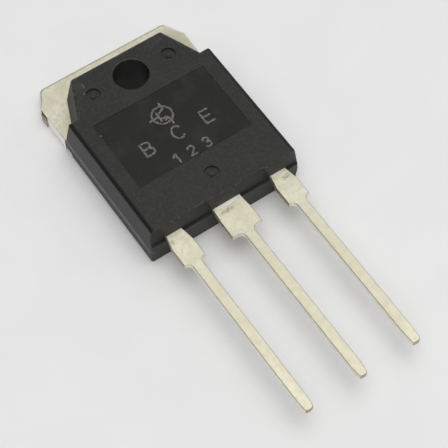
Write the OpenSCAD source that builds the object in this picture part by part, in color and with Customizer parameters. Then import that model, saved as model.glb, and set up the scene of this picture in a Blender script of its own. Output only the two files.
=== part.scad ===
// Bipolar power transistor: a flat moulded body on a bare heat tab, with three leads in a row.
// The origin is where the axis of the mounting hole meets the back face. +Z comes out of the marked
// face, the leads run along -Y, and the base is on the left, the collector in the middle and the
// emitter on the right.

/* [Moulded body] */
// How far the parting line of the body's sides stands out past the sides of the heat tab
side_overhang = 0.05; // [0.05:0.05:0.5]
// Thickness, from the back face to the marked face
body_t = 4.8; // [4.6:0.1:5.4]
// Mounting hole to the lead end of the marked face
face_end = 15.05; // [15:0.05:16]
// How far the lead end stands out at its parting line, past the edge of the marked face
end_rise = 0.2; // [0.15:0.05:0.3]
// Mounting hole to the shoulders of the marked face
shoulder_y = 1.4; // [1.2:0.1:1.8]
// Mounting hole to the far edge of the neck
neck_end = 2.6; // [2.4:0.1:3]
// Width of the marked face at the far edge of the neck
neck_end_w = 9.6; // [8.6:0.1:10.6]
// Width of the marked face where the neck meets the shoulders
neck_root_w = 13; // [12:0.1:13.6]
// Draft of the sides and of the lower half of the lead end, in degrees
side_draft = 5; // [3:0.5:7]
// Draft of the neck and of the shoulders, in degrees
neck_draft = 10; // [6:0.5:11]
// Draft of the upper half of the lead end between the leads, in degrees
bay_draft = 2.5; // [1:0.5:3]
// Lean of the lips that come down over the leads, in degrees
lip_draft = 6; // [4:0.5:10]
// How far the lead end stands back between the lips
bay_depth = 0.1; // [0.05:0.05:0.2]
// How much wider each lip is at the marked face than at its lead, on each side
lip_flare = 0.6; // [0.3:0.05:0.8]
// How far the notches between the tab and the lower half of the body go into its sides
notch_depth = 0.25; // [0.1:0.05:0.4]
// Diameter of the ejector pin marks
pin_mark_d = 1.4; // [1:0.1:1.8]
// Depth of the ejector pin marks
pin_mark_depth = 0.18; // [0.05:0.01:0.25]
// Diameter of the raised centre of each pin mark
pin_centre_d = 0.6; // [0.4:0.05:0.8]
// Distance of the two upper pin marks from the mounting hole, which they are level with
pin_mark_x = 4; // [3.6:0.1:4.2]
// Distance of the lower pin mark from the mounting hole, along the body
lower_mark_y = 12.8; // [12:0.1:13.4]
// Distance of the lower pin mark from the centre line
lower_mark_x = 0.15; // [0:0.05:0.5]
// Width of the smoother field for the marking
field_w = 11.7; // [10:0.1:12]
// Length of the marking field
field_l = 7.8; // [6:0.1:8]
// Mounting hole to the middle of the marking field
field_y = 6.75; // [6.4:0.05:7]
// Depth of the marking field below the marked face
field_depth = 0.03; // [0.02:0.01:0.06]

/* [Mounting hole] */
// Diameter of the hole, which takes an M3 screw
hole_d = 3.3; // [3.1:0.1:3.5]
// Wall of moulding that lines the hole through the heat tab
lining_t = 0.75; // [0.6:0.05:0.9]

/* [Heat tab] */
// Thickness of the tab and of the slug that carries the chip
tab_t = 1.5; // [1.3:0.1:1.7]
// Width of the tab
tab_w = 15.5; // [15.2:0.1:15.6]
// Mounting hole to the far edge of the tab
tab_end = 5.5; // [5.3:0.05:5.8]
// Width of the far edge, between the slanted corners
tab_end_w = 13.6; // [12.6:0.1:14]
// Length of the slanted corners along the tab
tab_slant = 2.1; // [1.6:0.05:2.3]
// Radius between the far edge and the slanted corners
tab_corner_r = 0.7; // [0.3:0.1:0.9]
// Mounting hole to where the tab narrows to the slug
tab_root = 0.7; // [0.5:0.1:0.9]
// Width of the slug inside the body
slug_w = 13.6; // [13:0.1:14]
// Mounting hole to the buried end of the slug
slug_end = 12.6; // [12.2:0.1:12.9]
// Height of the rebate that locks the slug into the moulding
rebate_h = 0.5; // [0.3:0.1:0.7]
// Depth of the rebate into the edges of the slug
rebate_w = 0.4; // [0.2:0.05:0.6]
// Mounting hole to the middle of the sheared tie bar stubs
tie_y = 2.9; // [2.6:0.1:2.9]
// Width of the tie bar stubs
tie_w = 1; // [0.6:0.1:1]
// How far the stubs stand out of the sides of the tab
tie_reach = 0.12; // [0.08:0.02:0.2]

/* [Leads] */
// Distance from one lead to the next
pitch = 5.45; // [5.3:0.05:5.5]
// Thickness of the leads
lead_t = 0.6; // [0.5:0.05:0.65]
// Back face to the underside of the leads
lead_z = 2.7; // [2.5:0.05:2.8]
// Width of the leads below the shoulders
lead_w = 1; // [0.8:0.05:1.2]
// Length of the leads outside the body
lead_len = 20.1; // [14:0.1:21]
// Width of the outer leads where they leave the body
outer_root_w = 1.55; // [1.4:0.05:1.8]
// Width of the outer leads at their sheared shoulders
outer_wide_w = 2.15; // [2:0.05:2.4]
// Width of the middle lead where it leaves the body
middle_root_w = 2.75; // [2.5:0.05:2.9]
// Width of the middle lead at its sheared shoulders
middle_wide_w = 3.1; // [3:0.05:3.3]
// Length over which a lead widens to its shoulders
flare_len = 1.3; // [1:0.1:1.5]
// Length from the body to the end of the shoulders
wide_len = 3.25; // [2.8:0.05:3.5]
// Radius between the shoulders and the lead below them
lead_fillet = 0.5; // [0.2:0.05:0.5]
// Width of the leads at their tips
tip_w = 0.8; // [0.7:0.05:0.8]
// Length over which the leads narrow to their tips
tip_len = 1.2; // [0.8:0.1:1.5]
// Radius of the corners at the lead tips
tip_r = 0.3; // [0.1:0.05:0.3]
// Radius of the inside of each bend in the collector lead
bend_r = 0.2; // [0.1:0.05:0.3]
// Slope of the collector lead between its bends, in degrees
bend_angle = 60; // [50:1:65]
// Width of the bond posts inside the body
post_w = 2.8; // [2.6:0.1:3]
// Length of the bond posts
post_l = 1.8; // [1.6:0.1:1.9]
// Thickness of the moulding between the bond posts and the lead end
post_cover = 1; // [0.8:0.1:1.2]

/* [Chip and wires] */
// Width of the square chip
chip_w = 4.4; // [3.6:0.1:5]
// Thickness of the chip
chip_t = 0.3; // [0.2:0.02:0.4]
// Mounting hole to the middle of the chip
chip_y = 7.2; // [6.6:0.1:7.4]
// Thickness of the solder under the chip
solder_t = 0.06; // [0.04:0.01:0.1]
// Width of solder that shows around the chip
solder_rim = 0.2; // [0.1:0.05:0.4]
// Diameter of the emitter wires
emitter_wire_d = 0.38; // [0.25:0.01:0.4]
// Diameter of the base wire
base_wire_d = 0.25; // [0.2:0.01:0.3]
// Height of the middle of the wires at the top of their loops, above the back face
loop_top = 3.9; // [3.8:0.05:4.1]
// Distance of the emitter wires from the middle of the chip
emitter_pad_x = 1; // [0.8:0.1:1.2]
// Distance between the two emitter wires, on the chip and on their post
emitter_spacing = 1.2; // [1.1:0.05:1.3]
// Distance of the base wire from the middle of the chip
base_pad_x = 1.2; // [0.9:0.1:1.3]

/* [Hidden] */
$fn = 64;
// Longer than any piece, for cuts that run right through
reach = 60;
// Share of a shoulder's ledge that its fillet may take up
ledge_share = 0.9;
// Length and width of a wire's bonded foot, and the height that it is pressed down to, in diameters
foot_l = 2.4;
foot_w = 1.4;
foot_h = 0.6;

// Widest width of the body, at the parting line of its sides
body_w = tab_w + side_overhang * 2;
// How far the lips run back into the body
lip_root = post_cover / 2;
// Mounting hole to the marked face's edge between the lips
bay_end = face_end - bay_depth;
lead_top = lead_z + lead_t;
slug_hole_r = hole_d / 2 + lining_t;
body_end = face_end + end_rise;
exit_y = -body_end;
tip_y = exit_y - lead_len;
post_y = exit_y + post_cover;
die_face = tab_t + solder_t + chip_t;
wire_y = post_y + post_l / 2;

// Points and tangents of a rounded corner
function unit(v) = v / norm(v);
function back_from(points, i) = unit(points[(i + len(points) - 1) % len(points)] - points[i]);
function on_from(points, i) = unit(points[(i + 1) % len(points)] - points[i]);
function half_angle(points, i) = acos(back_from(points, i) * on_from(points, i)) / 2;
function sticks_out(points, i) = cross(-back_from(points, i), on_from(points, i)) > 0;
function corner_centre(points, i, r) =
    points[i] + unit(back_from(points, i) + on_from(points, i)) * r / sin(half_angle(points, i));
function corner_ends(points, i, r) =
    r == 0 ? [points[i]] : [
        points[i] + back_from(points, i) * r / tan(half_angle(points, i)),
        points[i] + on_from(points, i) * r / tan(half_angle(points, i))
    ];

// Outline through points that run anticlockwise, each corner rounded to the radius of the same number
module rounded_outline(points, radii) {
    corners = [for (i = [0:len(points) - 1]) if (radii[i] > 0) i];
    difference() {
        union() {
            polygon([for (i = [0:len(points) - 1]) each corner_ends(points, i, radii[i])]);
            for (i = corners)
                if (sticks_out(points, i)) translate(corner_centre(points, i, radii[i])) circle(radii[i]);
        }
        for (i = corners)
            if (!sticks_out(points, i)) translate(corner_centre(points, i, radii[i])) circle(radii[i]);
    }
}

// A right half outline, from its far end to its near end, closed by its mirror image
function mirrored(half) = concat([for (p = half) [-p.x, p.y]], [for (i = [len(half) - 1:-1:0]) half[i]]);
function mirrored_radii(radii) = concat(radii, [for (i = [len(radii) - 1:-1:0]) radii[i]]);

// Shape drawn as seen from the lead end, carried right along Y
module along_y() {
    rotate([90, 0, 0]) linear_extrude(reach * 2, center = true) children();
}

// Shape drawn as seen from the right side, as distance out along -Y and height, carried along X
module along_x(width) {
    rotate([90, 0, -90]) linear_extrude(width, center = true) children();
}

// All that lies outside a drafted wall, which leans out as it goes down from the marked face
module beyond_wall(at, heading, draft) {
    translate([at.x, at.y, body_t])
        rotate([0, 0, heading])
            rotate([0, -draft, 0])
                translate([0, -reach, -reach])
                    cube([reach, reach * 2, reach * 2]);
}

// Main block of the body. Its sides part at the top of the heat tab, its lead end under the leads.
module body_block() {
    lower_in = tab_t * tan(side_draft);
    upper_in = (body_t - tab_t) * tan(side_draft);
    end_in = lead_z * tan(side_draft);
    bay_out = (body_t - lead_z) * tan(bay_draft);
    shoulder_out = (body_t - tab_t) * tan(neck_draft);
    intersection() {
        along_y() polygon(mirrored([
            [body_w / 2 - upper_in, body_t],
            [body_w / 2, tab_t],
            [body_w / 2 - lower_in, 0]
        ]));
        along_x(reach) polygon([
            [shoulder_y + lower_in, 0],
            [body_end - end_in, 0],
            [body_end, lead_z],
            [bay_end + bay_out, lead_z],
            [bay_end, body_t],
            [shoulder_y, body_t],
            [shoulder_y - shoulder_out, tab_t],
            [shoulder_y, tab_t]
        ]);
    }
}

// Moulding beside the slug, where the lower half of the body stops short of the tab. It lies deeper
// than the sides.
module notch_floor() {
    floor_w = body_w - notch_depth * 2;
    translate([-floor_w / 2, -shoulder_y * 2, 0])
        cube([floor_w, shoulder_y * 2 - tab_root, tab_t]);
}

// Neck that narrows around the mounting hole and lies on the heat tab
module body_neck() {
    flare = atan2((neck_root_w - neck_end_w) / 2, neck_end + shoulder_y);
    difference() {
        translate([-body_w / 2, -shoulder_y * 2, tab_t])
            cube([body_w, shoulder_y * 2 + tab_end, body_t - tab_t]);
        beyond_wall([0, neck_end], 90, neck_draft);
        beyond_wall([neck_end_w / 2, neck_end], flare, neck_draft);
        beyond_wall([-neck_end_w / 2, neck_end], 180 - flare, neck_draft);
    }
}

// Lip that comes down from the marked face onto a lead, and narrows to its width
module lip(x, root_w) {
    lip_out = (body_t - lead_top) * tan(lip_draft);
    intersection() {
        translate([x, 0, 0]) along_y() polygon([
            [-root_w / 2, lead_top],
            [root_w / 2, lead_top],
            [root_w / 2 + lip_flare, body_t],
            [-root_w / 2 - lip_flare, body_t]
        ]);
        along_x(reach) polygon([
            [face_end - lip_root, lead_top],
            [face_end + lip_out, lead_top],
            [face_end, body_t],
            [face_end - lip_root, body_t]
        ]);
    }
}

// Ring that an ejector pin leaves in the marked face
module pin_mark(x, y) {
    translate([x, y, body_t - pin_mark_depth]) difference() {
        cylinder(h = body_t, d = pin_mark_d);
        translate([0, 0, -body_t]) cylinder(h = body_t + pin_mark_depth / 2, d = pin_centre_d);
    }
}

// Epoxy moulding around the whole frame, which it also lines at the mounting hole
module moulded_body() {
    color([0.21, 0.21, 0.2]) difference() {
        union() {
            body_block();
            notch_floor();
            body_neck();
            cylinder(h = body_t / 2, r = slug_hole_r);
            lip(-pitch, outer_root_w);
            lip(0, middle_root_w);
            lip(pitch, outer_root_w);
        }
        translate([0, 0, -body_t]) cylinder(h = body_t * 3, d = hole_d);
        translate([-field_w / 2, -field_y - field_l / 2, body_t - field_depth])
            cube([field_w, field_l, body_t]);
        for (side = [-1, 1]) pin_mark(side * pin_mark_x, 0);
        pin_mark(lower_mark_x, -lower_mark_y);
        collector_frame();
        base_lead();
        emitter_lead();
        chip_solder();
        silicon_chip();
        base_wire();
        emitter_wire_1();
        emitter_wire_2();
    }
}

// Flat part of a lead, from inside the body to its tip
module lead_blank(inner_y, root_w, wide_w) {
    ledge = (wide_w - lead_w) / 2;
    half = [
        [root_w / 2, inner_y],
        [root_w / 2, exit_y],
        [wide_w / 2, exit_y - flare_len],
        [wide_w / 2, exit_y - wide_len],
        [lead_w / 2, exit_y - wide_len],
        [lead_w / 2, tip_y + tip_len],
        [tip_w / 2, tip_y]
    ];
    radii = [0, 0, flare_len / 2, 0, min(lead_fillet, ledge * ledge_share), 0, tip_r];
    translate([0, 0, lead_z]) linear_extrude(lead_t) rounded_outline(mirrored(half), mirrored_radii(radii));
}

// Outer lead, with the post inside the body that its wires are bonded to
module outer_lead() {
    lead_blank(post_y + post_l / 2, outer_root_w, outer_wide_w);
    translate([-post_w / 2, post_y, lead_z]) cube([post_w, post_l, lead_t]);
}

module base_lead() {
    color([0.84, 0.82, 0.74]) translate([-pitch, 0, 0]) outer_lead();
}

module emitter_lead() {
    color([0.84, 0.82, 0.74]) translate([pitch, 0, 0]) outer_lead();
}

// Strip that leaves the buried end of the slug and is bent up to the level of the leads
module offset_bend() {
    rise = lead_top - tab_t;
    run = rise / tan(bend_angle);
    inner = slug_end + bend_r;
    shift = lead_t * tan(bend_angle / 2);
    outer_r = bend_r + lead_t;
    straight = (body_end + inner + run) / 2;
    along_x(middle_root_w) rounded_outline([
        [slug_end - bend_r, tab_t],
        [slug_end - bend_r, tab_t - lead_t],
        [inner + shift, tab_t - lead_t],
        [inner + shift + run, lead_z],
        [straight, lead_z],
        [straight, lead_top],
        [inner + run, lead_top],
        [inner, tab_t]
    ], [0, 0, outer_r, bend_r, 0, 0, outer_r, bend_r]);
}

// Slug under the chip, rebated along its buried edges so that the moulding holds it
module slug() {
    difference() {
        translate([-slug_w / 2, -slug_end, 0]) cube([slug_w, slug_end - tab_root / 2, tab_t]);
        difference() {
            translate([-reach / 2, -reach - shoulder_y * 2, -tab_t]) cube([reach, reach, tab_t + rebate_h]);
            translate([-slug_w / 2 + rebate_w, -slug_end + rebate_w, -tab_t * 2])
                cube([slug_w - rebate_w * 2, slug_end, tab_t * 4]);
        }
    }
}

// Heat tab with slanted corners and the sheared stubs of the tie bars at its sides
module tab() {
    half = [
        [tab_end_w / 2, tab_end],
        [tab_w / 2, tab_end - tab_slant],
        [tab_w / 2, -tab_root]
    ];
    linear_extrude(tab_t) rounded_outline(mirrored(half), mirrored_radii([tab_corner_r, 0, 0]));
    translate([-tab_w / 2 - tie_reach, tie_y - tie_w / 2, 0])
        cube([tab_w + tie_reach * 2, tie_w, tab_t]);
}

// Heat tab, slug and middle lead in one piece of copper strip
module collector_frame() {
    color([0.84, 0.82, 0.74]) difference() {
        union() {
            tab();
            slug();
            offset_bend();
            lead_blank(-(body_end + slug_end + bend_r) / 2, middle_root_w, middle_wide_w);
        }
        translate([0, 0, -tab_t]) cylinder(h = tab_t * 3, r = slug_hole_r);
    }
}

module chip_solder() {
    pad_w = chip_w + solder_rim * 2;
    color([0.62, 0.63, 0.66])
        translate([-pad_w / 2, -chip_y - pad_w / 2, tab_t])
            cube([pad_w, pad_w, solder_t]);
}

module silicon_chip() {
    color([0.35, 0.37, 0.42])
        translate([-chip_w / 2, -chip_y - chip_w / 2, tab_t + solder_t])
            cube([chip_w, chip_w, chip_t]);
}

// Aluminium wire that rises from a pad on the chip in one arc and comes down on a bond post.
// Its two ends are pressed flat where they are bonded.
module bond_wire(pad, post, d) {
    run = norm([post.x - pad.x, post.y - pad.y]);
    climb = loop_top - d / 2 - pad.z;
    drop = loop_top - d / 2 - post.z;
    chord = run * run + (climb - drop) * (climb - drop);
    r = chord * (run * run + (climb + drop) * (climb + drop))
        / (2 * ((climb + drop) * chord + 2 * run * sqrt(climb * drop * chord)));
    leaves = acos(1 - climb / r);
    lands = acos(1 - drop / r);
    translate(pad) rotate([0, 0, atan2(post.y - pad.y, post.x - pad.x)]) {
        translate([r * sin(leaves), 0, d / 2 + climb - r])
            rotate([90, 0, 0])
                rotate([0, 0, 90 - lands])
                    rotate_extrude(angle = leaves + lands)
                        translate([r, 0])
                            circle(d = d);
        for (foot = [[0, 0], [run, post.z - pad.z]])
            translate([foot.x - foot_l * d / 2, -foot_w * d / 2, foot.y])
                cube([foot_l * d, foot_w * d, foot_h * d]);
    }
}

module base_wire() {
    color([0.8, 0.81, 0.83])
        bond_wire([-base_pad_x, -chip_y - base_pad_x, die_face], [-pitch, wire_y, lead_top], base_wire_d);
}

module emitter_wire(side) {
    color([0.8, 0.81, 0.83]) bond_wire(
        [emitter_pad_x, -chip_y + side * emitter_spacing / 2, die_face],
        [pitch + side * emitter_spacing / 2, wire_y, lead_top],
        emitter_wire_d
    );
}

module emitter_wire_1() {
    emitter_wire(1);
}

module emitter_wire_2() {
    emitter_wire(-1);
}

moulded_body();
collector_frame();
base_lead();
emitter_lead();
chip_solder();
silicon_chip();
base_wire();
emitter_wire_1();
emitter_wire_2();
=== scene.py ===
# A bipolar power transistor, put together as it is made: the stamped frame, the outer leads, the chip
# and its wires, the moulding around them and the marking. Sizes are in millimetres, and angles in
# degrees, where no comment says otherwise.
import math

import bmesh
import bpy
from mathutils import Matrix, Vector
from mathutils import noise as noise_field
from mathutils.bvhtree import BVHTree


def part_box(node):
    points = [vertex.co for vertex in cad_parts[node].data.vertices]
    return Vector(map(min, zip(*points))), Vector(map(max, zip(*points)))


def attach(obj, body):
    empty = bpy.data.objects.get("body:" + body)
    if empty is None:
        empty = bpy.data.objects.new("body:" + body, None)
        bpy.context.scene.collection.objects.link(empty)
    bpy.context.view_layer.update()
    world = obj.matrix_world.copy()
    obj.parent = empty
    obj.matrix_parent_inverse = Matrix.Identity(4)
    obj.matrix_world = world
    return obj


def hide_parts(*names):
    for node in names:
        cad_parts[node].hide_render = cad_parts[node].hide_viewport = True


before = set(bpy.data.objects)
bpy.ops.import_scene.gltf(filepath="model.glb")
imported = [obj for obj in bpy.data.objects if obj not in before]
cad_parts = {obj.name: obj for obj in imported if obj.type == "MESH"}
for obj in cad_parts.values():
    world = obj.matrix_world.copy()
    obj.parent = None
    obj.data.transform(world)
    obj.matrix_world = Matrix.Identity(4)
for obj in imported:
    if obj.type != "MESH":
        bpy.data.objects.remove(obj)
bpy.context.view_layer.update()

# ---------------------------------------------------------------------------------------------------
# Collector frame: heat tab, slug and middle lead, stamped in one piece from copper strip and plated with
# matte tin. It is sheared from its neighbours after moulding, which leaves bare copper at the cuts.
# ---------------------------------------------------------------------------------------------------
MM = 0.001
# Places that are closer than this are taken as one
slack = 0.01
tab_t = 1.5
tab_root_y = -0.7
stub_reach = 0.12
lead_len = 20.1
flare_len = 1.3
wide_len = 3.25
# Radii that the punch left on the top edges: the tab's far end, its sides, and the leads
far_roll = 0.32
side_roll = 0.09
lead_roll = 0.07
tab_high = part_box("collector_frame")[1] / MM
lead_low, lead_high = (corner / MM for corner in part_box("base_lead"))
tab_side = tab_high.x - stub_reach
# Where the leads leave the moulding, and the two ends of their widest stretch
exit_y = lead_low.y + lead_len
shear_near = exit_y - flare_len
shear_far = exit_y - wide_len


def clean_copy(node_name, merge_within=0.0001, flat_within=0.5):
    """A CAD node's mesh with its doubles merged and its flat faces whole."""
    bm = bmesh.new()
    bm.from_mesh(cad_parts[node_name].data)
    bmesh.ops.remove_doubles(bm, verts=bm.verts, dist=merge_within * MM)
    bmesh.ops.dissolve_limit(bm, angle_limit=math.radians(flat_within), verts=bm.verts, edges=bm.edges)
    bmesh.ops.recalc_face_normals(bm, faces=bm.faces)
    return bm


def as_object(bm, name):
    """A new object at the origin that holds the mesh."""
    mesh = bpy.data.meshes.new(name)
    bm.to_mesh(mesh)
    bm.free()
    made = bpy.data.objects.new(name, mesh)
    bpy.context.scene.collection.objects.link(made)
    return made


def apply_modifiers(piece):
    """Turns the evaluated piece into its plain mesh."""
    graph = bpy.context.evaluated_depsgraph_get()
    mesh = bpy.data.meshes.new_from_object(piece.evaluated_get(graph))
    mesh.name = piece.name
    piece.modifiers.clear()
    piece.data = mesh


def rounded(bm, name, radius_of, segments=3, least_turn=20, smooth_up_to=35, sliver=slack / 20):
    """The mesh as a piece whose outer edges are rounded. radius_of gives the radius of an edge."""
    weights = bm.edges.layers.float.new("bevel_weight_edge")
    radii = {}
    for edge in bm.edges:
        if edge.is_manifold and edge.calc_face_angle_signed() > math.radians(least_turn):
            radii[edge] = radius_of(edge, [end.co / MM for end in edge.verts])
    widest = max(radii.values())
    for edge, radius in radii.items():
        edge[weights] = radius / widest
    piece = as_object(bm, name)
    bevel = piece.modifiers.new("rounding", "BEVEL")
    bevel.limit_method = "WEIGHT"
    bevel.width = widest * MM
    bevel.segments = segments
    bevel.use_clamp_overlap = False
    bevel.loop_slide = False
    bevel.face_strength_mode = "FSTR_ALL"
    for face in piece.data.polygons:
        face.use_smooth = True
    apply_modifiers(piece)
    bm = bmesh.new()
    bm.from_mesh(piece.data)
    bmesh.ops.dissolve_degenerate(bm, dist=sliver * MM, edges=bm.edges)
    bmesh.ops.recalc_face_normals(bm, faces=bm.faces)
    for edge in bm.edges:
        edge.smooth = edge.calc_face_angle(0) < math.radians(smooth_up_to)
    bm.to_mesh(piece.data)
    bm.free()
    weighted = piece.modifiers.new("flat faces stay flat", "WEIGHTED_NORMAL")
    weighted.keep_sharp = True
    weighted.use_face_influence = True
    apply_modifiers(piece)
    return piece


def frame_radius(edge, ends):
    """Radius of an edge of the stamped strip. The punch rolled over the top, most at the far end of the
    tab. Upright edges, the buried slug's and those of the torn stubs stay sharp."""
    middle = (ends[0] + ends[1]) / 2
    if abs(ends[0].z - ends[1].z) > slack or abs(middle.x) > tab_side + slack:
        return 0
    if middle.y < exit_y:
        return lead_roll
    if middle.y < tab_root_y + slack:
        return 0
    if middle.z < tab_t - slack:
        return lead_roll
    return side_roll if abs(middle.x) > tab_side - slack else far_roll


def tear_stubs(bm, cuts=9, bites_per_mm=3, break_line=0.75, line_sway=0.3, break_depth=0.1, uneven=0.03):
    """Makes the ends of the tie bar stubs uneven. They were sheared part of the way up and then broke
    back. break_line and line_sway are shares of the tab's thickness."""
    stub_end = tab_high.x - slack
    for side in (-1, 1):
        outline = [edge for edge in bm.edges
                   if all(end.co.x / MM * side > stub_end for end in edge.verts)]
        bmesh.ops.subdivide_edges(bm, edges=outline, cuts=cuts, use_grid_fill=True)
    for vert in bm.verts:
        if abs(vert.co.x) / MM > stub_end:
            ragged = noise_field.noise(vert.co / MM * bites_per_mm) * 0.5 + 0.5
            torn = vert.co.z / MM / tab_t + ragged * line_sway > break_line
            set_back = break_depth - uneven * ragged if torn else uneven * ragged
            vert.co.x -= math.copysign(set_back, vert.co.x) * MM
    return bm


def linear(hex_colour):
    """An sRGB hex colour as the linear colour that a socket takes."""
    levels = [int(hex_colour[i:i + 2], 16) / 255 for i in (1, 3, 5)]
    return [c / 12.92 if c <= 0.04045 else ((c + 0.055) / 1.055) ** 2.4 for c in levels] + [1]


def add(tree, kind, sockets=None, **settings):
    """Adds a node with its settings. A socket takes a value, or the output that is linked to it."""
    made = tree.nodes.new(kind)
    for setting, value in settings.items():
        setattr(made, setting, value)
    for socket, value in (sockets or {}).items():
        if isinstance(value, bpy.types.NodeSocket):
            tree.links.new(value, made.inputs[socket])
        else:
            made.inputs[socket].default_value = value
    return made


def start_material(name):
    """A material with an empty tree, its mm coordinates and its shader already joined to the output."""
    material = bpy.data.materials.new(name)
    material.use_nodes = True
    tree = material.node_tree
    tree.nodes.clear()
    place = add(tree, "ShaderNodeTexCoord").outputs["Object"]
    mm = add(tree, "ShaderNodeMapping", {"Vector": place, "Scale": (1 / MM,) * 3}).outputs["Vector"]
    shader = add(tree, "ShaderNodeBsdfPrincipled")
    add(tree, "ShaderNodeOutputMaterial", {"Surface": shader.outputs["BSDF"]})
    return material, tree, mm, shader


def mottled(tree, mm, size, levels=(0, 1), reach=(0.35, 0.65), stretch=(1, 1, 1), detail=2, seed=0):
    """Patches about size mm across. Noise from one end of reach to the other is brought to levels. Each
    seed moves the noise to another place."""
    placed = add(tree, "ShaderNodeMapping", {
        "Vector": mm, "Location": [seed * share for share in (1, 1.7, 0.6)],
        "Scale": [1 / (size * share) for share in stretch]})
    field = add(tree, "ShaderNodeTexNoise", {
        "Vector": placed.outputs["Vector"], "Scale": 1, "Detail": detail})
    kept = add(tree, "ShaderNodeMapRange", {
        "Value": field.outputs["Fac"], "From Min": reach[0], "From Max": reach[1],
        "To Min": levels[0], "To Max": levels[1]}, interpolation_type="SMOOTHSTEP")
    return kept.outputs["Result"]


def layered(tree, ground, coats):
    """Colours laid over a ground one after the other, each by the product of its amounts. A Mix node
    takes its two colours at sockets 6 and 7, and gives the mixed one at 2."""
    for colour, *amounts in coats:
        amount = amounts[0]
        for more in amounts[1:]:
            amount = add(tree, "ShaderNodeMath", {0: amount, 1: more}, operation="MULTIPLY").outputs[0]
        sockets = {0: amount, 6: ground, 7: linear(colour)}
        ground = add(tree, "ShaderNodeMix", sockets, data_type="RGBA").outputs[2]
    return ground


def spot(tree, mm, centre, size, turn=0, strength=1, full_from=0.6):
    """A soft patch, strongest in its middle and gone past its size in mm, turned about Z."""
    placed = add(tree, "ShaderNodeMapping", {
        "Vector": mm, "Location": centre, "Rotation": (0, 0, math.radians(turn)), "Scale": size},
        vector_type="TEXTURE")
    ball = add(tree, "ShaderNodeTexGradient", {"Vector": placed.outputs["Vector"]},
               gradient_type="SPHERICAL")
    soft = add(tree, "ShaderNodeMapRange", {
        "Value": ball.outputs["Fac"], "From Max": full_from, "To Max": strength},
        interpolation_type="SMOOTHSTEP")
    return soft.outputs["Result"]


# Marks on the plating: middle, size, and then turn and strength where they have them. The first are
# smudges that the mould left at the roots of the leads and at the left of the tab.
root_smudges = [
    ((-0.45, exit_y - 0.75, lead_high.z), (1.0, 0.3, 1), 4),
    ((-6.1, exit_y - 0.7, lead_high.z), (0.25, 0.5, 1), 0, 0.6),
    ((5.8, exit_y - 0.75, lead_high.z), (0.7, 0.3, 1), 15),
    ((-6.07, 2.2, tab_t), (0.15, 0.11, 1), 0, 0.7),
]
# Painted highlights: bright strips along the roots of the leads, where they leave the moulding
root_painted_highlights = [
    ((0.1, exit_y - 0.1, lead_high.z), (1.9, 0.24, 0.3), 0),
    ((5.3, exit_y - 0.08, lead_high.z), (0.9, 0.18, 0.3), 0, 0.6),
    ((-5.5, exit_y - 0.08, lead_high.z), (0.8, 0.16, 0.3), 0, 0.4),
]
# Painted shade that dims the lamps' reflection on the leads, and the right of the tab made darker
lead_painted_shade = ((0, lead_low.y + 8, lead_high.z), (14, 14, 6))
darker_tab_right = ((6.6, 2.2, tab_t), (1.7, 3, 1))


def tin_plate():
    """Matte tin on rolled copper. Pale warm grey with clouds and faint rolling lines, smudged by the
    moulding. Painted shade darkens the rolled edges, for the dark reflections there, and dims the lamps'
    reflection on the leads; painted highlights brighten the cut sides, the tab's far edge and the roots
    of the leads. The right of the tab is darker. Cuts show copper, brown where it broke. Real grain and
    rolling lines are finer, and are drawn as coarse as they need to show."""
    material, tree, mm, shader = start_material("matte tin plate")
    grain = mottled(tree, mm, 0.06, detail=4, seed=8)
    rolling = mottled(tree, mm, 0.12, (0, 0.22), (0.3, 0.7), (1, 30, 1), detail=3, seed=5)
    coats = [
        ("#DBD7C2", mottled(tree, mm, 1.6, seed=3)),
        ("#CBC6AF", mottled(tree, mm, 0.4, (0, 0.5), (0.42, 0.62), detail=4, seed=61)),
        ("#C4C0A9", rolling),
        ("#B8B4A0", grain, 0.15),
        # Painted shade dimming the lamps' reflection on the leads
        ("#CFC9B4", spot(tree, mm, *lead_painted_shade), 0.85),
    ]
    dirt = mottled(tree, mm, 0.25, (0.1, 0.6), (0.35, 0.6), detail=4, seed=13)
    coats += [("#7E7968", spot(tree, mm, *smudge), dirt) for smudge in root_smudges]
    # Painted highlights along the roots of the leads
    coats += [("#FBFAF4", spot(tree, mm, *root_highlight)) for root_highlight in root_painted_highlights]
    # The right of the tab made darker
    coats += [("#A9A58F", spot(tree, mm, *darker_tab_right), 0.6)]
    paints = {name: add(tree, "ShaderNodeAttribute", attribute_name=name).outputs["Fac"]
              for name in ("rolled", "painted_sheen", "sheared", "broken")}
    coats += [
        # Painted shade on the rolled edges, for their dark reflections
        ("#8F8A73", paints["rolled"], mottled(tree, mm, 0.5, (0.4, 0.85), (0.3, 0.6), seed=21)),
        # Painted highlight on the cut sides and the tab's far edge
        ("#FBFAF4", paints["painted_sheen"], 0.9),
        ("#B8A299", paints["sheared"], mottled(tree, mm, 0.3, (0.4, 0.9), (0.3, 0.5), seed=55)),
        ("#8E7163", paints["sheared"], mottled(tree, mm, 0.2, (0, 0.6), (0.5, 0.65), detail=3, seed=34)),
        ("#2A1E19", paints["broken"], 0.95),
    ]
    bump = add(tree, "ShaderNodeBump", {"Height": grain, "Strength": 0.3, "Distance": 0.0015 * MM})
    finish = {
        "Base Color": layered(tree, linear("#E6E3D0"), coats),
        "Roughness": mottled(tree, mm, 0.6, (0.44, 0.56), (0.3, 0.7), detail=3, seed=89),
        "Normal": bump.outputs["Normal"],
    }
    for socket, value in finish.items():
        tree.links.new(value, shader.inputs[socket])
    shader.inputs["Metallic"].default_value = 1
    return material


# The next four say how much painted shade, painted highlight, bare copper and broken copper a face has,
# from its middle and the way it faces. They compare
# parts of the facing's unit vector: past flat_z a face lies flat, and within upright_z it stands up.
flat_z = 0.97
upright_z = 0.2


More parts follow.
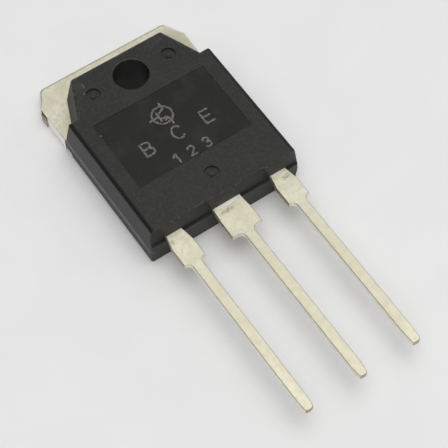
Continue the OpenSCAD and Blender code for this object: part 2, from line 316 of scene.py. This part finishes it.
def rolled(middle, facing, from_y=0.2, to_y=0.5, tips_y=-0.3):
    """Painted shade on the roll-over at the tab's far edge and along the leads, for the dark reflections
    there, but not at their tips.
    """
    if abs(facing.z) > flat_z or facing.y < tips_y:
        return 0
    if middle.y > exit_y:
        return 0.5 if from_y < facing.y < to_y else 0
    return 0.4 if abs(facing.z) > upright_z else 0


def painted_sheen(middle, facing, far_y=0.5, side_x=0.3):
    """Painted highlight on the cuts, for the bright reflections there: around the tab and along the
    narrow leads.
    """
    if abs(facing.z) > flat_z or abs(middle.x) > tab_side + slack:
        return 0
    if middle.y > exit_y:
        return 1 if facing.y > far_y or abs(facing.x) > side_x else 0
    return 0.7 if abs(facing.z) < upright_z and middle.y < shear_far + slack else 0


def sheared(middle, facing, cut_z=0.75, side_x=0.7, tip_cut=0.12):
    """Cuts of the bars between the leads, of the tips, and of the tie bars beside the tab."""
    if abs(facing.z) > cut_z:
        return 0
    if abs(facing.x) > side_x and shear_far - slack < middle.y < shear_near + slack:
        return 1
    return 1 if middle.y < lead_low.y + tip_cut or abs(middle.x) > tab_side + slack else 0


def broken(middle, facing, sheared_share=0.45, from_height=0.5):
    """The upper part of each tie bar stub, where it broke back from the sheared end."""
    sheared_end = tab_high.x - stub_reach * sheared_share
    torn = tab_side + slack < abs(middle.x) < sheared_end
    return 1 if torn and middle.z > tab_t * from_height else 0


tin = tin_plate()


def finish_metal(piece, node_name):
    """Stores each face's painted shade, painted highlight, bare copper and broken copper, plates the
    piece and puts it in place of its CAD node.
    """
    for amount_of in (rolled, painted_sheen, sheared, broken):
        layer = piece.data.attributes.new(amount_of.__name__, "FLOAT", "FACE")
        for face in piece.data.polygons:
            layer.data[face.index].value = amount_of(face.center / MM, face.normal)
    piece.data.materials.clear()
    piece.data.materials.append(tin)
    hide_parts(node_name)
    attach(piece, "root")


heat_tab = rounded(tear_stubs(clean_copy("collector_frame")), "heat_tab_and_middle_lead", frame_radius)
finish_metal(heat_tab, "collector_frame")

# ---------------------------------------------------------------------------------------------------
# Outer leads: the same copper strip, cut free of the tab. Each ends inside the moulding in a wide post
# that its wires are bonded to.
# ---------------------------------------------------------------------------------------------------
for node_name in ("base_lead", "emitter_lead"):
    lead = rounded(clean_copy(node_name), node_name + "_plated", frame_radius)
    finish_metal(lead, node_name)

# ---------------------------------------------------------------------------------------------------
# Chip, the solder under it and its three aluminium wires. The chip is soldered to the slug, and the
# wires are pressed onto its pads by ultrasound. All of it is sealed inside the moulding.
# ---------------------------------------------------------------------------------------------------


def soft_solder():
    """Reflowed lead-free solder: dull grey with a faint crystal pattern."""
    material, tree, mm, shader = start_material("soft solder")
    crystal_size = 0.25
    crystals = add(tree, "ShaderNodeTexVoronoi", {"Vector": mm, "Scale": 1 / crystal_size})
    grey = layered(tree, linear("#A9ABAE"), [("#8E9094", crystals.outputs["Distance"])])
    tree.links.new(grey, shader.inputs["Base Color"])
    tree.links.new(mottled(tree, mm, 0.4, (0.35, 0.55), seed=9), shader.inputs["Roughness"])
    shader.inputs["Metallic"].default_value = 1
    return material


def passivated_silicon():
    """Silicon under its glass coat: dark blue-grey and glossy, with paler cells in rows."""
    material, tree, mm, shader = start_material("passivated silicon")
    cells = add(tree, "ShaderNodeTexBrick", {
        "Vector": mm, "Scale": 1, "Brick Width": 0.9, "Row Height": 0.3, "Mortar Size": 0.03,
        "Color1": linear("#5A6070"), "Color2": linear("#666C7B"), "Mortar": linear("#30343F")})
    tree.links.new(cells.outputs["Color"], shader.inputs["Base Color"])
    tree.links.new(mottled(tree, mm, 0.5, (0.15, 0.3), seed=4), shader.inputs["Roughness"])
    shader.inputs["Metallic"].default_value = 0.6
    return material


def drawn_aluminium():
    """Drawn wire: bright, with fine lines from the die."""
    material, tree, mm, shader = start_material("drawn aluminium wire")
    die_lines = mottled(tree, mm, 0.03, stretch=(20, 1, 1), seed=6)
    bright = layered(tree, linear("#CFD0D3"), [("#B4B6BA", die_lines)])
    tree.links.new(bright, shader.inputs["Base Color"])
    tree.links.new(mottled(tree, mm, 0.2, (0.25, 0.4), seed=12), shader.inputs["Roughness"])
    shader.inputs["Metallic"].default_value = 1
    return material


wire_finish = drawn_aluminium()
inner_finishes = {
    "chip_solder": soft_solder(),
    "silicon_chip": passivated_silicon(),
    "base_wire": wire_finish,
    "emitter_wire_1": wire_finish,
    "emitter_wire_2": wire_finish,
}
for node_name, finish in inner_finishes.items():
    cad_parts[node_name].material_slots[0].material = finish

# ---------------------------------------------------------------------------------------------------
# Moulding: filled epoxy, pressed around the frame in a two-part mould. The mould was spark-eroded, which
# gives the matte grain, and has a smoother insert where the marking goes.
# ---------------------------------------------------------------------------------------------------
body_low, body_high = (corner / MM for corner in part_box("moulded_body"))
body_top = body_high.z
face_end_y = -15.05
# Half the width across the three lips that run out over the leads
lips_out_to = 7.2
hole_r = 1.65
parting_z = 1.75
# Radii of the top's long rims, its other rims, the upright corners, the foot, the hole and the lips
side_rim_round = 0.36
rim_round = 0.26
corner_round = 0.2
foot_round = 0.08
hole_round = 0.1
lip_round = 0.07
# Pin marks and the marking field are no deeper than this, and the sides of both stay sharp
deepest_mark = 0.2
field_half = (5.85, 3.9)
field_middle = (0, -6.75)
field_floor = body_top - 0.03

inner_surfaces = []
for inner_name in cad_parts:
    if inner_name != "moulded_body":
        bm = clean_copy(inner_name)
        inner_surfaces.append(BVHTree.FromBMesh(bm))
        bm.free()


def is_cavity(face):
    """True where the moulding lies on a piece of the frame."""
    middle = face.calc_center_median()
    return any(tree.find_nearest(middle, slack * MM)[0] is not None for tree in inner_surfaces)


def body_radius(edge, ends, wall_z=0.9, lip_reach=0.5, steep=0.8):
    """Radius of an edge of the moulding. Edges against the metal, in the shallow marks and up the lips
    stay sharp. A wall's normal has less than wall_z of Z, and an upright edge rises by at least the
    steep share of its length."""
    if any(is_cavity(face) for face in edge.link_faces):
        return 0
    middle = (ends[0] + ends[1]) / 2
    low_z, high_z = sorted(end.z for end in ends)
    walls = [face for face in edge.link_faces if abs(face.normal.z) < wall_z]
    if any(min(vert.co.z for vert in wall.verts) / MM > body_top - deepest_mark for wall in walls):
        return 0
    at_lips = middle.y < face_end_y + lip_reach and abs(middle.x) < lips_out_to
    if low_z > body_top - slack:
        if middle.xy.length < hole_r + slack:
            return hole_round
        if abs(middle.x) > lips_out_to:
            return side_rim_round
        return lip_round if at_lips else rim_round
    if high_z < slack:
        return foot_round
    upright = high_z - low_z > steep * (ends[0] - ends[1]).length
    return corner_round if upright and not at_lips else 0


# Pale scuffs on the marked face: middle, size, turn and strength
scuffs = [
    ((-5.78, -4.13, body_top), (0.1, 0.07, 0.3), 0, 0.9),
    ((-4.25, 1.35, body_top), (0.045, 0.42, 0.3), -4, 0.9),
    ((-4.63, 0.55, body_top), (0.09, 0.12, 0.3), 0, 0.6),
    ((-4.7, 1.6, body_top), (0.7, 1.3, 0.5), 10, 0.05),
    ((3.6, 1.9, body_top), (1.5, 0.6, 0.5), 12, 0.05),
    ((-5.6, -0.6, body_top), (0.05, 0.4, 0.3), -8, 0.3),
]


def moulded_epoxy(field_blur=0.06, specks_per_mm=0.7, speck_r=0.03, unspecked=0.8):
    """Filled epoxy. Almost black and matte with a spark-eroded grain, drawn a little coarse so that it
    shows. The marking field is darker and smoother, and the other rims are rubbed pale. The long rims
    get painted shade, for the dark room they reflect, and the parting line a pale band of painted
    reflection of the floor over its trimmed seam. There are scuffs and a few specks of filler."""
    material, tree, mm, shader = start_material("moulded epoxy")
    axes = add(tree, "ShaderNodeSeparateXYZ", {"Vector": mm}).outputs
    # The field's finish keeps to the top, inside a rectangle whose edges wander a little
    gone_z = body_top - 0.3
    full_z = body_top - 0.1
    wander = mottled(tree, mm, 0.6, (-0.05, 0.05), (0.3, 0.7), detail=3, seed=2)
    field = add(tree, "ShaderNodeMapRange", {
        "Value": axes["Z"], "From Min": gone_z, "From Max": full_z}).outputs["Result"]
    for axis, middle, half in zip("XY", field_middle, field_half):
        off = add(tree, "ShaderNodeMath", {0: axes[axis], 1: middle}, operation="SUBTRACT").outputs[0]
        off = add(tree, "ShaderNodeMath", {0: off}, operation="ABSOLUTE").outputs[0]
        off = add(tree, "ShaderNodeMath", {0: off, 1: wander}, operation="ADD").outputs[0]
        within = add(tree, "ShaderNodeMapRange", {
            "Value": off, "From Min": half - field_blur, "From Max": half + field_blur,
            "To Min": 1, "To Max": 0}).outputs["Result"]
        field = add(tree, "ShaderNodeMath", {0: field, 1: within}, operation="MULTIPLY").outputs[0]
    grain = mottled(tree, mm, 0.08, detail=4, seed=7)
    filler = add(tree, "ShaderNodeTexVoronoi", {"Vector": mm, "Scale": specks_per_mm, "Randomness": 1})
    near = filler.outputs["Distance"]
    rare = add(tree, "ShaderNodeSeparateColor", {"Color": filler.outputs["Color"]}).outputs["Red"]
    speck = add(tree, "ShaderNodeMath", {0: near, 1: speck_r}, operation="LESS_THAN").outputs[0]
    picked = add(tree, "ShaderNodeMath", {0: rare, 1: unspecked}, operation="GREATER_THAN").outputs[0]
    coats = [
        ("#32322F", mottled(tree, mm, 0.28, (0, 0.55), (0.45, 0.62), detail=4, seed=41)),
        ("#10100F", field, 0.95),
        ("#2E2E2C", grain, 0.4),
        ("#2B2B29", mottled(tree, mm, 2.2, (0, 0.5), (0.45, 0.7), detail=3, seed=11)),
        ("#6C6C69", speck, picked, 0.5),
    ]
    rubbed = mottled(tree, mm, 0.09, reach=(0.3, 0.6), stretch=(0.6, 2.5, 1), detail=4, seed=23)
    coats += [("#8A8A8C", spot(tree, mm, *scuff), rubbed) for scuff in scuffs]
    # A pale band along the parting line on each side: painted reflection of the floor, over the trimmed
    # seam
    trimmed_seam_sheen = mottled(tree, mm, 0.4, (0.5, 1), stretch=(1, 3, 1), detail=3, seed=29)
    seam_sheen_size = (0.5, 12, 0.4)
    for side_x in (body_low.x, body_high.x):
        seam_sheen = spot(tree, mm, (side_x, face_end_y / 2, parting_z), seam_sheen_size)
        coats += [("#747277", seam_sheen, trimmed_seam_sheen)]
    rim_shade = add(tree, "ShaderNodeAttribute", attribute_name="rim_shade").outputs["Fac"]
    worn = add(tree, "ShaderNodeAttribute", attribute_name="worn").outputs["Fac"]
    # Painted shade on the long rims, for the dark room that they reflect; the other rims worn pale
    coats += [
        ("#19191A", rim_shade),
        ("#4C4C49", worn, mottled(tree, mm, 0.35, (0, 0.7), (0.42, 0.65), detail=3, seed=37)),
    ]
    # Each mix goes from its value on the plain surface, socket 2, to that of the field or rim, socket 3
    rough = add(tree, "ShaderNodeMix", {0: field, 2: 0.46, 3: 0.4}, data_type="FLOAT").outputs[0]
    rough = add(tree, "ShaderNodeMix", {0: rim_shade, 2: rough, 3: 0.38}, data_type="FLOAT").outputs[0]
    gloss = add(tree, "ShaderNodeMix", {0: field, 2: 0.3, 3: 0.24}, data_type="FLOAT").outputs[0]
    gloss = add(tree, "ShaderNodeMix", {0: rim_shade, 2: gloss, 3: 0.27}, data_type="FLOAT").outputs[0]
    depth = add(tree, "ShaderNodeMix", {0: field, 2: 0.45, 3: 0.2}, data_type="FLOAT").outputs[0]
    bump = add(tree, "ShaderNodeBump", {"Height": grain, "Strength": depth, "Distance": 0.005 * MM})
    finish = {
        "Base Color": layered(tree, linear("#20201F"), coats),
        "Roughness": rough,
        "Specular IOR Level": gloss,
        "Normal": bump.outputs["Normal"],
    }
    for socket, value in finish.items():
        tree.links.new(value, shader.inputs[socket])
    shader.inputs["IOR"].default_value = 1.5
    return material


moulding = rounded(clean_copy("moulded_body"), "epoxy_moulding", body_radius, segments=4)
# A rim's normal has more Z than a wall's and less than the top's. The long rims lie at least
# long_rims_from off the middle and get painted shade, and the others are worn where they face up most.
long_rims_from = 7
wall_z = 0.2
worn_z = 0.6
top_z = 0.99
rim_shade = moulding.data.attributes.new("rim_shade", "FLOAT", "FACE")
worn = moulding.data.attributes.new("worn", "FLOAT", "FACE")
for face in moulding.data.polygons:
    middle = face.center / MM
    sloped = wall_z < abs(face.normal.z) < top_z
    on_rim = sloped and body_top - side_rim_round < middle.z < body_top
    at_side = abs(middle.x) > long_rims_from and abs(face.normal.x) > abs(face.normal.y)
    rim_shade.data[face.index].value = on_rim and at_side
    worn.data[face.index].value = on_rim and face.normal.z > worn_z and not at_side
moulding.data.materials.clear()
moulding.data.materials.append(moulded_epoxy())
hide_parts("moulded_body")
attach(moulding, "root")

# ---------------------------------------------------------------------------------------------------
# Marking: burnt into the field by a laser that fires a row of dots along each stroke. A plain circuit
# symbol, the letters of the three pins and their numbers stand on it.
# ---------------------------------------------------------------------------------------------------
dot_radius = 0.105
dot_spacing = 0.09
dot_height = 0.012
dot_wander = 0.02
# The smallest and the largest dot, as shares of dot_radius
dot_uneven = (0.7, 1.15)
pin_letter_h = 1.4
pin_number_h = 1.0
letter_row_y = -8.3
number_row_y = -10.4
letter_step = 3.1
number_step = 1.6
symbol_at = (-0.1, -5.3)
symbol_r = 0.95


def arc(centre, radii, start, end, steps=12):
    """Points along part of an ellipse, from one angle to another."""
    turns = [math.radians(start + (end - start) * i / steps) for i in range(steps + 1)]
    return [(centre[0] + radii[0] * math.cos(t), centre[1] + radii[1] * math.sin(t)) for t in turns]


# Strokes of each sign in a box one high, and the box's width
signs = {
    "B": (0.66, [
        [(0, 0), (0, 1)],
        [(0, 1)] + arc((0.34, 0.76), (0.27, 0.24), 90, -90) + [(0, 0.52)],
        arc((0.36, 0.26), (0.3, 0.26), 90, -90) + [(0, 0)],
    ]),
    "C": (0.7, [arc((0.38, 0.5), (0.38, 0.5), 48, 312)]),
    "E": (0.6, [[(0.6, 1), (0, 1), (0, 0), (0.6, 0)], [(0, 0.52), (0.48, 0.52)]]),
    "1": (0.3, [[(0, 0.78), (0.3, 1), (0.3, 0)]]),
    "2": (0.6, [arc((0.3, 0.71), (0.29, 0.29), 165, -35) + [(0, 0), (0.6, 0)]]),
    "3": (0.6, [
        arc((0.28, 0.755), (0.27, 0.245), 150, -90),
        arc((0.28, 0.255), (0.31, 0.255), 90, -150),
    ]),
}
strokes = []
rows = [
    ("BCE", letter_row_y, pin_letter_h, letter_step),
    ("123", number_row_y, pin_number_h, number_step),
]
for row, row_y, height, step in rows:
    for i, sign in enumerate(row):
        width, lines = signs[sign]
        left = (i - 1) * step - width * height / 2
        strokes += [[(left + x * height, row_y + y * height) for x, y in line] for line in lines]
# The circuit symbol: circle, base line, bar, collector, emitter and its arrow head, in a circle of one
symbol = [
    arc((0, 0), (1, 1), 0, 360, 32),
    [(-1.35, 0), (-0.38, 0)],
    [(-0.38, -0.5), (-0.38, 0.5)],
    [(-0.38, 0.2), (0.42, 0.62), (0.42, 1.3)],
    [(-0.38, -0.2), (0.42, -0.62), (0.42, -1.3)],
    [(-0.02, -0.62), (0.36, -0.59), (0.14, -0.28)],
]
for line in symbol:
    strokes.append([(symbol_at[0] + x * symbol_r, symbol_at[1] + y * symbol_r) for x, y in line])


def laser_mark():
    """Epoxy bleached by the laser: dull warm grey, blotchy."""
    material, tree, mm, shader = start_material("laser-bleached epoxy")
    burn = mottled(tree, mm, 0.18, detail=3, seed=17)
    tree.links.new(layered(tree, linear("#75726A"), [("#4A4843", burn)]), shader.inputs["Base Color"])
    tree.links.new(mottled(tree, mm, 0.2, (0.65, 0.85), seed=19), shader.inputs["Roughness"])
    return material


def dot_row_tree():
    """Dots along every line of the input mesh, each a flat drum of uneven size."""
    tree = bpy.data.node_groups.new("laser dots along strokes", "GeometryNodeTree")
    tree.interface.new_socket("Strokes", in_out="INPUT", socket_type="NodeSocketGeometry")
    inputs = {"Spacing": "Float", "Dot Radius": "Float", "Dot Height": "Float", "Wander": "Float",
              "Smallest": "Float", "Largest": "Float", "Sides": "Int", "Seed": "Int",
              "Finish": "Material"}
    for name, kind in inputs.items():
        tree.interface.new_socket(name, in_out="INPUT", socket_type="NodeSocket" + kind)
    tree.interface.new_socket("Dots", in_out="OUTPUT", socket_type="NodeSocketGeometry")
    given = add(tree, "NodeGroupInput").outputs
    curves = add(tree, "GeometryNodeMeshToCurve", {"Mesh": given["Strokes"]}).outputs["Curve"]
    points = add(tree, "GeometryNodeCurveToPoints", {
        "Curve": curves, "Length": given["Spacing"]}, mode="LENGTH")
    least = add(tree, "ShaderNodeVectorMath", {0: given["Wander"], "Scale": -1}, operation="SCALE")
    shift = add(tree, "FunctionNodeRandomValue", {
        0: least.outputs[0], 1: given["Wander"], "Seed": given["Seed"]}, data_type="FLOAT_VECTOR")
    flat = add(tree, "ShaderNodeVectorMath", {0: shift.outputs[0], 1: (1, 1, 0)}, operation="MULTIPLY")
    moved = add(tree, "GeometryNodeSetPosition", {
        "Geometry": points.outputs["Points"], "Offset": flat.outputs[0]})
    drum = add(tree, "GeometryNodeMeshCylinder", {
        "Vertices": given["Sides"], "Radius": given["Dot Radius"], "Depth": given["Dot Height"]})
    size = add(tree, "FunctionNodeRandomValue", {
        2: given["Smallest"], 3: given["Largest"], "Seed": given["Seed"]}, data_type="FLOAT")
    dots = add(tree, "GeometryNodeInstanceOnPoints", {
        "Points": moved.outputs["Geometry"], "Instance": drum.outputs["Mesh"], "Scale": size.outputs[1]})
    real = add(tree, "GeometryNodeRealizeInstances", {"Geometry": dots.outputs["Instances"]})
    done = add(tree, "GeometryNodeSetMaterial", {
        "Geometry": real.outputs["Geometry"], "Material": given["Finish"]})
    add(tree, "NodeGroupOutput", {"Dots": done.outputs["Geometry"]})
    return tree


bm = bmesh.new()
for line in strokes:
    corners = [bm.verts.new((x * MM, y * MM, field_floor * MM)) for x, y in line]
    for start, end in zip(corners, corners[1:]):
        bm.edges.new((start, end))
marking = as_object(bm, "pin_marking")
dots = marking.modifiers.new("laser dots", "NODES")
dots.node_group = dot_row_tree()
dot_values = {
    "Spacing": dot_spacing * MM,
    "Dot Radius": dot_radius * MM,
    "Dot Height": dot_height * MM,
    "Wander": dot_wander * MM,
    "Smallest": dot_uneven[0],
    "Largest": dot_uneven[1],
    "Sides": 8,
    "Seed": 5,
    "Finish": laser_mark(),
}
for item in dots.node_group.interface.items_tree:
    if item.in_out == "INPUT" and item.name in dot_values:
        dots[item.identifier] = dot_values[item.name]
apply_modifiers(marking)
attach(marking, "root")

# ---------------------------------------------------------------------------------------------------
# Floor, light and camera: a pale card under three large soft lamps, in a room whose ceiling and walls
# glow. The floor and the lamps are placed in metres.
# ---------------------------------------------------------------------------------------------------
floor_half = 2.0
# Keeps the floor just clear of the part's back
floor_gap = 0.00002
bm = bmesh.new()
bmesh.ops.create_grid(bm, x_segments=1, y_segments=1, size=floor_half)
bmesh.ops.translate(bm, vec=(0, 0, -floor_gap), verts=bm.verts)
floor = as_object(bm, "floor")


def white_card():
    """Plain white card, matte."""
    material, tree, mm, shader = start_material("white card")
    shade = layered(tree, linear("#E8E8E8"), [("#E6E6E6", mottled(tree, mm, 6, detail=3))])
    tree.links.new(shade, shader.inputs["Base Color"])
    shader.inputs["Roughness"].default_value = 0.9
    shader.inputs["Specular IOR Level"].default_value = 0
    return material


floor.data.materials.append(white_card())

lamp_aim = Vector((0, -0.015, 0))
lamp_distance = 0.9
lamp_size = 0.75
# Each lamp's name, its direction from the part, and its power in watts
lamps = [
    ("lamp above", (0, 0, 1), 2.2),
    ("lamp in front", (-0.35, -0.35, 1), 1.5),
    ("lamp on the right", (0.3, 0, 1), 1.15),
]
for name, heading, energy in lamps:
    lamp_from = Vector(heading).normalized()
    lamp_data = bpy.data.lights.new(name, "AREA")
    lamp_data.shape = "DISK"
    lamp_data.size = lamp_size
    lamp_data.energy = energy
    lamp = bpy.data.objects.new(name, lamp_data)
    lamp.location = lamp_aim + lamp_from * lamp_distance
    lamp.rotation_mode = "QUATERNION"
    lamp.rotation_quaternion = lamp_from.to_track_quat("Z", "Y")
    bpy.context.scene.collection.objects.link(lamp)

# Each glow's direction, how closely it keeps to that direction, and its strength: the ceiling, then the
# walls in front, on the right, on the left and behind
glows = [
    ((0, 0, 1), 4, 0.7),
    ((0, -1, 0.35), 2, 0.42),
    ((1, 0, 0.35), 2, 0.4),
    ((-0.8, -0.6, 0.35), 2, 0.22),
    ((0.3, 1, 0.15), 10, 1.0),
]
# The level of the room where the camera looks past the floor
backdrop = 0.8
world = bpy.data.worlds.new("studio")
bpy.context.scene.world = world
world.use_nodes = True
tree = world.node_tree
tree.nodes.clear()
outward = add(tree, "ShaderNodeTexCoord").outputs["Generated"]
room = 0.0
for heading, sharpness, strength in glows:
    toward = Vector(heading).normalized()
    facing = add(tree, "ShaderNodeVectorMath", {0: outward, 1: toward}, operation="DOT_PRODUCT")
    ahead = add(tree, "ShaderNodeMath", {0: facing.outputs["Value"], 1: 0}, operation="MAXIMUM")
    glow = add(tree, "ShaderNodeMath", {0: ahead.outputs[0], 1: sharpness}, operation="POWER")
    room = add(tree, "ShaderNodeMath", {
        0: glow.outputs[0], 1: strength, 2: room}, operation="MULTIPLY_ADD").outputs[0]
rays = add(tree, "ShaderNodeLightPath").outputs["Is Camera Ray"]
level = add(tree, "ShaderNodeMix", {0: rays, 2: room, 3: backdrop}, data_type="FLOAT")
sky = add(tree, "ShaderNodeBackground", {"Color": (1, 1, 1, 1), "Strength": level.outputs[0]})
add(tree, "ShaderNodeOutputWorld", {"Surface": sky.outputs["Background"]})

# The view from the front left and above. Its distance and target are in millimetres, its nearest and
# farthest reach in metres, and focal_share is the focal length as a share of the sensor's width.
view_azimuth = math.radians(-33.275)
view_elevation = math.radians(59.154)
view_roll = math.radians(-1.010)
view_distance = 150.38
view_target = Vector((-0.339, -15.324, 0))
sensor_w = 36
focal_share = 3.79363
nearest, farthest = 0.01, 20

back = Vector((math.sin(view_azimuth) * math.cos(view_elevation),
               -math.cos(view_azimuth) * math.cos(view_elevation),
               math.sin(view_elevation)))
right = Vector((0, 0, 1)).cross(back).normalized()
up = back.cross(right)
tilted_right = right * math.cos(view_roll) + up * math.sin(view_roll)
tilted_up = up * math.cos(view_roll) - right * math.sin(view_roll)
camera_data = bpy.data.cameras.new("camera")
camera_data.sensor_width = sensor_w
camera_data.lens = sensor_w * focal_share
camera_data.clip_start = nearest
camera_data.clip_end = farthest
camera = bpy.data.objects.new("camera", camera_data)
bpy.context.scene.collection.objects.link(camera)
camera.matrix_world = Matrix((tilted_right, tilted_up, back)).transposed().to_4x4()
camera.location = (view_target + back * view_distance) * MM
bpy.context.scene.camera = camera
bpy.context.scene.view_settings.view_transform = "Standard"
